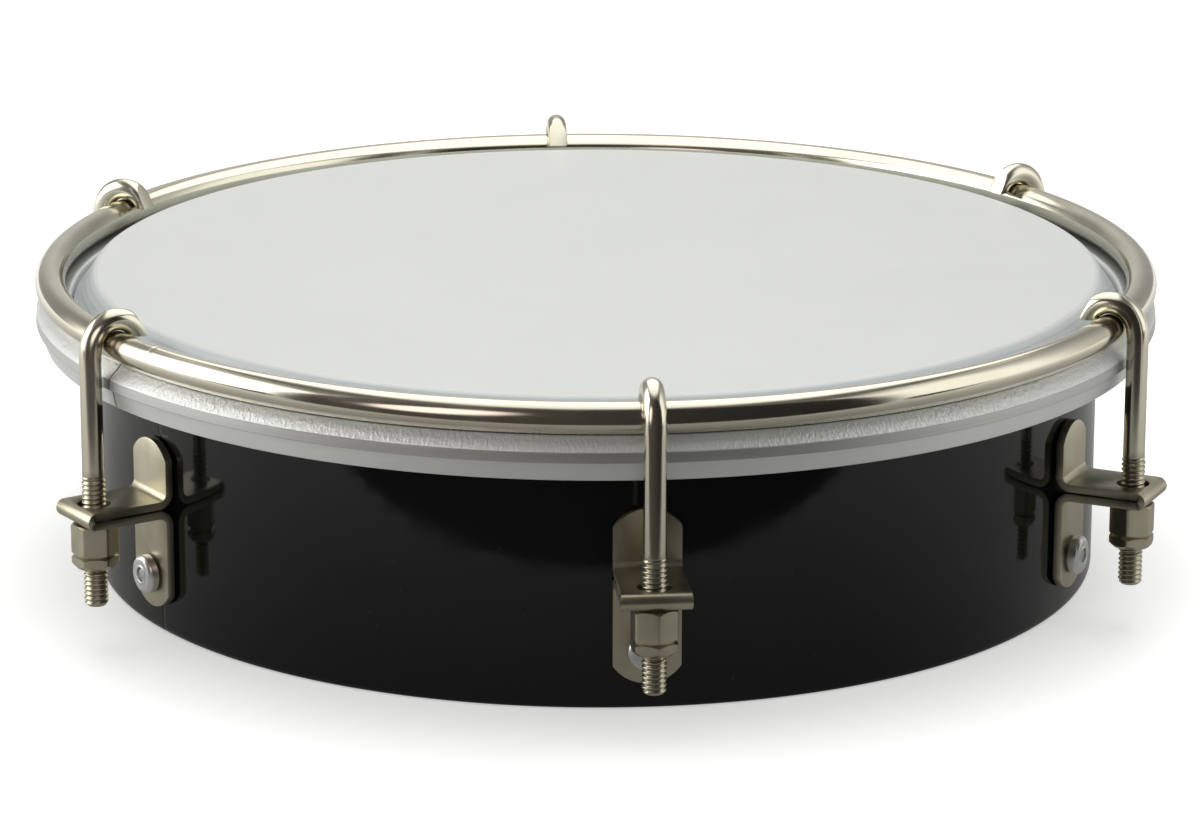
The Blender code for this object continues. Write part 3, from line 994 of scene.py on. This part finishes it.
nut = {
    "flats": 5.9,
    "height": 6.4,
    "foot": 1.9,               # height of the end below the groove
    "groove": 0.38,            # depth of the groove below the flats
    "chamfer": 0.4,            # height of the chamfer on the upper corners
    "footChamfer": 0.9,        # height of the chamfer on the lower corners
    "footInset": 0.4,          # from the flats in to the lower face's edge
    "bore": 3.56,
    "countersink": 0.3,
    "edgeRound": 0.26,
    "spare": 0.05,             # how far the turned blank stands out past the bar's corners
    "barEnd": 1.0,             # how far the bar stands out past the blank's ends
    "bottom": 11.5,            # height of its lower end
    "turns": (37, 9, 22, 48, 14, 1),   # degrees each nut stands turned
    "steps": 96,
}


def nutOutline():
    bore = nut["bore"] / 2
    flat = nut["flats"] / 2
    corner = flat / math.cos(math.pi / 6)
    rise = (nut["groove"] + corner - flat) / 2
    sink, foot, height = nut["countersink"], nut["foot"], nut["height"]
    reach = corner + nut["spare"]
    return roundCorners([
        (bore, height - sink, 0), (bore + sink, height, 0), (flat, height, 0.06),
        (reach, height - nut["chamfer"], 0), (reach, foot + rise, 0.1),
        (flat - nut["groove"], foot, 0.08), (reach, foot - rise, 0.1),
        (reach, nut["footChamfer"], 0.12), (flat - nut["footInset"], 0, 0.12),
        (bore + sink, 0, 0), (bore, sink, 0)], 3)


def hexBar():
    # hexagon bar with its long edges just rounded
    shape = bmesh.new()
    radius = nut["flats"] / 2 / math.cos(math.pi / 6)
    ends = [[shape.verts.new((radius * math.cos(math.radians(60 * k)),
                              radius * math.sin(math.radians(60 * k)), z)) for k in range(6)]
            for z in (-nut["barEnd"], nut["height"] + nut["barEnd"])]
    joinRows(shape, ends)
    upright = [e for e in shape.edges if abs(e.verts[0].co.z - e.verts[1].co.z) > 1]
    bmesh.ops.bevel(shape, geom=upright, offset=nut["edgeRound"], offset_type="OFFSET", segments=3,
                    profile=0.5, affect="EDGES")
    return finishMesh("hexBar", shape, 20)


def makeNuts():
    blank = addObject("nutBlank", turnedMesh("nutBlank", nutOutline(), evenAngles(nut["steps"])))
    bar = addObject("hexBar", hexBar())
    cutWith(blank, [bar], "INTERSECT")
    mesh = bakeModifiers(blank, [bar], 24)
    for number, around in stations():
        where = around @ Vector((layout["rodRadius"] * mm, 0, nut["bottom"] * mm))
        turn = Matrix.Rotation(math.radians(nut["turns"][number - 1]), 4, "Z")
        placePiece(f"long_nut_{number}", mesh.copy(), nutFinish, f"tension_nut_{number}",
                   [f"nut_{number}"], Matrix.Translation(where) @ turn)


makeNuts()
print("nuts made")


# Rivets and what is left of their mandrels

rivet = {
    "seat": 75.5,              # radius where the head sits on the tab
    "head": 5.5,
    "rise": 1.6,
    "shank": 3.2,
    "bore": 2.0,
    "inside": 72.5,            # radius where the shank leaves the shell
    "tail": 4.4,
    "tailLength": 2.6,
    "swell": (0.8, 2.0),       # from the wall in to where the tail is full and where it closes
    "tailEnd": 0.6,            # from the bore out to the corner of the tail's end
    # corners of the raised lip: out from the bore, up from the head's top, and fillet
    "lip": ((0, -0.5, 0), (0.04, -0.02, 0.08), (0.3, 0, 0.1), (0.38, -0.09, 0.06),
            (0.5, -0.1, 0.06)),
    # corners of the round shoulder, out from the head's edge
    "shoulder": ((-0.42, -0.1, 0.6), (0, -0.52, 0.6)),
    "steps": 64,
}


def rivetOutline():
    # heights run outwards along the rivet's axis
    seat, top = rivet["seat"], rivet["seat"] + rivet["rise"]
    head, shank, bore = rivet["head"] / 2, rivet["shank"] / 2, rivet["bore"] / 2
    tail, inside = rivet["tail"] / 2, rivet["inside"]
    end = inside - rivet["tailLength"]
    full, closing = rivet["swell"]
    return roundCorners([
        *((bore + x, top + z, fillet) for x, z, fillet in rivet["lip"]),
        *((head + x, top + z, fillet) for x, z, fillet in rivet["shoulder"]),
        (head, seat, 0.12), (shank, seat, 0), (shank, inside, 0.3),
        (tail, inside - full, 0.5), (tail, inside - closing, 0.6),
        (bore + rivet["tailEnd"], end, 0.2), (bore, end, 0)], 5)


mandrel = {
    "stem": 1.4,
    "upset": 1.84,             # its end is spread where the setting tool snapped it
    "head": 2.6,
    "headLength": 1.0,
    "headSide": 0.6,           # height of the head's straight side
    "headEnd": 0.6,            # share of the head's radius that its end has
    "top": 76.9,
    # corners of the broken end: share of its radius, up from its top, and fillet
    "break": ((0, 0.05, 0), (0.4, 0, 0.1), (0.9, -0.03, 0.08), (1, -0.13, 0.08), (1, -0.5, 0.1)),
    "neck": 0.8,               # from the top in to where the plain stem starts
    "steps": 40,
}


def mandrelOutline():
    stem, head = mandrel["stem"] / 2, mandrel["head"] / 2
    seat = rivet["inside"] - rivet["tailLength"] - layout["seat"]
    end = seat - mandrel["headLength"]
    top, upset = mandrel["top"], mandrel["upset"] / 2
    # nearly flush with the rivet's head, with a low cone in the middle
    return roundCorners([
        *((upset * share, top + z, fillet) for share, z, fillet in mandrel["break"]),
        (stem, top - mandrel["neck"], 0.2), (stem, seat, 0), (head, seat, 0.15),
        (head, seat - mandrel["headSide"], 0.25), (head * mandrel["headEnd"], end, 0.2),
        (0, end, 0)], 3)


def makeRivets():
    rivetMesh = turnedMesh("rivet", rivetOutline(), evenAngles(rivet["steps"]), 42)
    mandrelMesh = turnedMesh("mandrel", mandrelOutline(), evenAngles(mandrel["steps"]), 42)
    for number, turn in stations():
        where = turn @ alongAxis(0, layout["rivetHeight"])
        placePiece(f"blind_rivet_{number}", rivetMesh.copy(), rivetMetal, "drum",
                   [f"rivet_{number}"], where)
        placePiece(f"mandrel_stub_{number}", mandrelMesh.copy(), mandrelMetal, "drum",
                   [f"mandrel_{number}"], where)


makeRivets()
print("rivets made")


# Studio

studio = {
    "cameraAngle": -94.96,     # direction in which the camera stands
    "cameraDistance": 704.0,
    "cameraHeight": 222.1,
    "tilt": 15.99,             # degrees down
    "roll": 0.155,
    "yaw": 0.052,
    "lens": 147.8,
    "sensor": 36.0,
    "clip": (0.01, 20),        # metres
    "floorRadius": 4000.0,
    "floorColour": "#F2F2F0",
    "floorLift": 0.42,         # light of its own that the floor shows to the eye
    "worldColour": "#FFFFFF",
    "worldLight": 0.62,        # light that the surroundings throw on the object
}


def makeCamera():
    turn = math.radians(studio["cameraAngle"] + 90 - studio["yaw"])
    tilt, roll = math.radians(studio["tilt"]), math.radians(studio["roll"])
    spot = math.radians(studio["cameraAngle"])
    place = Vector((studio["cameraDistance"] * math.cos(spot),
                    studio["cameraDistance"] * math.sin(spot), studio["cameraHeight"])) * mm
    forward = Vector((-math.sin(turn) * math.cos(tilt), math.cos(turn) * math.cos(tilt),
                      -math.sin(tilt)))
    right = forward.cross(Vector((0, 0, 1))).normalized()
    up = right.cross(forward)
    rolledRight = right * math.cos(roll) + up * math.sin(roll)
    rolledUp = up * math.cos(roll) - right * math.sin(roll)
    data = bpy.data.cameras.new("camera")
    data.lens = studio["lens"]
    data.sensor_width = studio["sensor"]
    data.clip_start, data.clip_end = studio["clip"]
    turned = Matrix((rolledRight, rolledUp, -forward)).transposed().to_4x4()
    bpy.context.scene.camera = addObject("camera", data, Matrix.Translation(place) @ turned)


def seenDirectly(tree):
    # 1 where the eye, a mirror or glass sees the surface
    path = addNode(tree, "ShaderNodeLightPath").outputs
    first = combine(tree, "MAXIMUM", path["Is Camera Ray"], path["Is Glossy Ray"])
    return combine(tree, "MAXIMUM", first, path["Is Transmission Ray"])


def makeFloor():
    shape = bmesh.new()
    bmesh.ops.create_circle(shape, cap_ends=True, segments=96, radius=studio["floorRadius"])
    mesh = finishMesh("floor", shape, 30)
    if mesh.polygons[0].normal.z < 0:
        mesh.flip_normals()
    floor = addObject("floor", mesh)
    material, tree, shader, _ = startMaterial("pale floor", 0.9, 0.0)
    shader.inputs["Base Color"].default_value = toLinear(studio["floorColour"])
    shader.inputs["Specular IOR Level"].default_value = 0.0
    shader.inputs["Emission Color"].default_value = (1, 1, 1, 1)
    tree.links.new(combine(tree, "MULTIPLY", seenDirectly(tree), studio["floorLift"]),
                   shader.inputs["Emission Strength"])
    # seen from below the floor isn't there, so that the underside can be looked at
    behind = addNode(tree, "ShaderNodeNewGeometry").outputs["Backfacing"]
    clear = addNode(tree, "ShaderNodeBsdfTransparent")
    mixed = addNode(tree, "ShaderNodeMixShader", links={0: behind, 1: shader.outputs[0],
                                                        2: clear.outputs[0]})
    tree.links.new(mixed.outputs[0], tree.nodes["Material Output"].inputs["Surface"])
    mesh.materials.append(material)


def makeWorld():
    world = bpy.data.worlds.new("studio")
    bpy.context.scene.world = world
    world.use_nodes = True
    tree = world.node_tree
    sky = tree.nodes["Background"]
    sky.inputs["Color"].default_value = toLinear(studio["worldColour"])
    tree.links.new(ramp(tree, seenDirectly(tree), 0.0, 1.0, studio["worldLight"]),
                   sky.inputs["Strength"])


lamp = {
    "turn": 90,                # direction in which it hangs
    "rise": 74,                # degrees above the floor
    "distance": 1100,
    "side": 900,
    "watts": 6.0,
}


def makeLamp():
    data = bpy.data.lights.new("overhead", "AREA")
    data.shape = "RECTANGLE"
    data.size = lamp["side"] * mm
    data.size_y = lamp["side"] * mm
    data.energy = lamp["watts"]
    item = addObject("overhead", data)
    turn, rise = math.radians(lamp["turn"]), math.radians(lamp["rise"])
    away = Vector((math.cos(turn) * math.cos(rise), math.sin(turn) * math.cos(rise),
                   math.sin(rise)))
    item.location = away * lamp["distance"] * mm
    item.rotation_mode = "QUATERNION"
    item.rotation_quaternion = away.to_track_quat("Z", "Y")
    item.visible_glossy = False          # mirrors see the cards instead


cards = {
    # cards round the drum that only mirrors and gloss see, as a studio shapes metal with them
    "roomDistance": 1600.0,
    "roomRise": (-1, 90.9),    # degrees from its foot, and up from there
    # light of the walls, and of the room above them, by direction from the camera's side
    "walls": ((-180, 0.66), (-165, 0.58), (-150, 0.34), (-135, 0.32), (-126, 0.5), (-114, 3.3),
              (-68, 3.3), (-58, 0.15), (57, 0.1), (64, 1.45), (97, 1.4), (112, 0.76), (130, 0.5),
              (150, 0.33), (165, 0.42), (180, 0.6)),
    "above": ((-180, 1.5), (-156, 1.5), (-145, 1.0), (-130, 0.6), (-110, 0.38), (-90, 0.3),
              (-60, 0.15), (0, 0.15), (60, 0.1), (90, 0.32), (110, 0.38), (130, 0.6), (145, 1.0),
              (156, 1.5), (180, 1.5)),
    "wallTops": ((0, 34), (60, 34), (75, 39), (90, 43), (125, 43), (145, 37), (180, 37)),
    "wallFade": (9, 20),       # degrees over which a wall ends, left and right
    "wallSides": 140,          # further round than this both fade as the left one does
    "wallBlue": 0.98,          # share of blue in the light of the walls and the ceiling
    "front": -135.0,           # where the dark card in front stands
    "frontWide": (-196.0, 170.0),
    "frontHigh": 300.0,
    "frontFoot": 0.5,
    "frontLevel": 0.07,        # its light at the left
    "frontLess": (0.045, -40, 60),     # how much of that goes, and from where to where
    "haze": (0.11, -95, (20, 95), (60, 150)),  # light, middle, reach to the sides and rise
    "frontTop": (0.15, 190, 290),      # light above and the heights between which it comes
    "frontEnds": (1.2, 34),    # light and width of its bright ends
    "frontTint": (1.08, 1.0, 0.94),
    "spotEdge": (0.7, 1.2),    # soft edge of the three spots below, in their own sizes
    "tableFrom": 72.5,
    "tableTo": 1300.0,
    "tableHeight": 0.2,
    "tableEasing": 2.2,        # crowds its points near the drum
    "table": ((-180, 0.6), (-100, 0.46), (-65, 0.46), (-50, 0.41), (-35, 0.35), (0, 0.31),
              (35, 0.29), (50, 0.36), (65, 0.42), (80, 0.38), (110, 0.38), (180, 0.5)),
    "tableShade": (0.25, 76, 115),     # share of light missing at the drum, and where it ends
    "tableFar": (1.38, 1.2),           # light far away, left and right
    "tableGrowth": 230,                # distance over which it grows to that
    "tableEnd": 0.04,                  # light past the front edge
    "tableEdge": (-5, 1),              # soft edge there, from the front card
    "tableBlue": 0.97,
    "window": ((-60, 76), (33, 29), (1.9, 1.65, 1.65)),
    "lamp": ((-14, 205), (13, 15), (0.9, 0.9, 0.84)),
    "glow": ((104, 214), (26, 20), (0.3, 0.3, 0.28)),
    "ceiling": 180.0,          # height of the bright sheet over the drum
    "ceilingWide": 126.0,
    "ceilingFrom": -128.0,
    "ceilingTo": 210.0,
    "ceilingOval": (101.0, 122.0),     # half width and reach to the front of its bright part
    "ceilingSpread": 0.3,      # how much wider that part gets with each mm to the back
    "ceilingEdge": (0.74, 1.05),       # its soft edge, in its own size
    "ceilingDim": (0.3, 80),   # share of its light lost towards the front, and over how far
    "ceilingLevels": (0.17, 1.7),      # light outside it, and what it adds
}


def fade(value, low, high):
    # 0 below low, 1 above high and smooth between them
    share = min(1.0, max(0.0, (value - low) / (high - low)))
    return share * share * (3 - 2 * share)


def between(value, pairs):
    # straight line between given points
    for (x0, y0), (x1, y1) in zip(pairs, pairs[1:]):
        if x0 <= value <= x1:
            return y0 + (y1 - y0) * (value - x0) / (x1 - x0)
    return pairs[0][1] if value < pairs[0][0] else pairs[-1][1]


def roomLight(point):
    # bright walls left and right, a grey one behind and a bright sky over it; dark over the camera
    aside = math.degrees(math.atan2(point.x, -point.y))
    rise = math.degrees(math.asin(point.z / point.length))
    low = between(abs(aside), cards["wallTops"])
    soft = cards["wallFade"][1 if 0 <= aside < cards["wallSides"] else 0]
    wall = between(aside, cards["walls"])
    level = wall + (between(aside, cards["above"]) - wall) * fade(rise, low, low + soft)
    return (level, level, level * cards["wallBlue"])


def tableLight(point):
    # a little darker close to the drum, paler far away, dark beyond the table's front edge
    away = math.hypot(point.x, point.y)
    aside = math.degrees(math.atan2(point.x, -point.y))
    shade, near, clear = cards["tableShade"]
    level = between(aside, cards["table"]) * (1 - shade + shade * fade(away, near, clear))
    far = cards["tableFar"][0 if aside < 0 else 1]
    level += (far - level) * (1 - math.exp(-max(0.0, away - clear) / cards["tableGrowth"]))
    before, after = cards["tableEdge"]
    edge = 1 - fade(point.y, cards["front"] + before, cards["front"] + after)
    level += (cards["tableEnd"] - level) * edge
    return (level, level, level * cards["tableBlue"])


def frontLight(point):
    # dark, a little hazy at the upper left, with a window and a lamp far behind it
    left, right = cards["frontWide"]
    less, start, end = cards["frontLess"]
    level = cards["frontLevel"] - less * fade(point.x, start, end)
    hazy, middle, aside, rise = cards["haze"]
    level += (hazy - level) * ((1 - fade(abs(point.x - middle), *aside)) * fade(point.z, *rise))
    top, start, end = cards["frontTop"]
    level += (top - level) * fade(point.z, start, end)
    bright, wide = cards["frontEnds"]
    side = max(1 - fade(point.x, left, left + wide), fade(point.x, right - wide, right))
    colour = [tint * level + (bright - tint * level) * side for tint in cards["frontTint"]]
    for name in ("window", "lamp", "glow"):
        (x, z), (wide, high), light = cards[name]
        reach = math.hypot((point.x - x) / wide, (point.z - z) / high)
        share = 1 - fade(reach, *cards["spotEdge"])
        colour = [c + (max(c, own) - c) * share for c, own in zip(colour, light)]
    return tuple(colour)


def ceilingLight(point):
    # a bright sheet with a soft oval front, wider and brighter to the back
    halfWidth, reach = cards["ceilingOval"]
    halfWidth += cards["ceilingSpread"] * max(0.0, point.y)
    oval = math.hypot(point.x / halfWidth, min(0.0, point.y) / reach)
    less, far = cards["ceilingDim"]
    share = (1 - fade(oval, *cards["ceilingEdge"])) * (1 - less * fade(-point.y, 0, far))
    outside, added = cards["ceilingLevels"]
    level = outside + added * share
    return (level, level, level * cards["wallBlue"])


def paintedCard(name, columns, rows, place, light):
    # a grid whose light is painted on its points; place turns two shares into a point
    shape = bmesh.new()
    paint = shape.verts.layers.float_color.new("light")
    grid = []
    for i in range(columns + 1):
        column = []
        for j in range(rows + 1):
            point = Vector(place(i / columns, j / rows))
            vertex = shape.verts.new(point)
            vertex[paint] = (*light(point), 1.0)
            column.append(vertex)
        grid.append(column)
    for left, right in zip(grid, grid[1:]):
        for j in range(rows):
            shape.faces.new((left[j], right[j], right[j + 1], left[j + 1]))
    bmesh.ops.rotate(shape, verts=shape.verts, matrix=Matrix.Rotation(
        math.radians(studio["cameraAngle"] + 90), 3, "Z"))
    card = addObject(name, finishMesh(name, shape, 40))
    material = bpy.data.materials.new(name)
    material.use_nodes = True
    tree = material.node_tree
    tree.nodes.remove(tree.nodes["Principled BSDF"])
    painted = addNode(tree, "ShaderNodeVertexColor", layer_name="light")
    glow = addNode(tree, "ShaderNodeEmission", links={"Color": painted.outputs["Color"]})
    tree.links.new(glow.outputs[0], tree.nodes["Material Output"].inputs["Surface"])
    card.data.materials.append(material)
    for ray in ("camera", "diffuse", "shadow", "transmission", "volume_scatter"):
        setattr(card, f"visible_{ray}", False)


def makeCards():
    foot, height = cards["roomRise"]

    def onRoom(across, up):
        turn, rise = math.radians(360 * across), math.radians(foot + height * up)
        far = cards["roomDistance"]
        return (far * math.cos(rise) * math.cos(turn), far * math.cos(rise) * math.sin(turn),
                far * math.sin(rise))

    def onTable(across, out):
        turn = math.radians(360 * across)
        far = cards["tableFrom"] + (cards["tableTo"] - cards["tableFrom"]) * out ** cards["tableEasing"]
        return (far * math.cos(turn), far * math.sin(turn), cards["tableHeight"])

    def onFront(across, up):
        left, right = cards["frontWide"]
        return (left + (right - left) * across, cards["front"],
                cards["frontFoot"] + cards["frontHigh"] * up)

    def onCeiling(across, along):
        near = cards["ceilingFrom"]
        return (cards["ceilingWide"] * (2 * across - 1), near + (cards["ceilingTo"] - near) * along,
                cards["ceiling"])

    paintedCard("room", 144, 60, onRoom, roomLight)
    paintedCard("table", 180, 60, onTable, tableLight)
    paintedCard("front", 100, 76, onFront, frontLight)
    paintedCard("ceiling", 60, 60, onCeiling, ceilingLight)


makeCamera()
makeFloor()
makeWorld()
makeLamp()
makeCards()
bpy.context.scene.view_settings.view_transform = "Standard"
print("studio made")
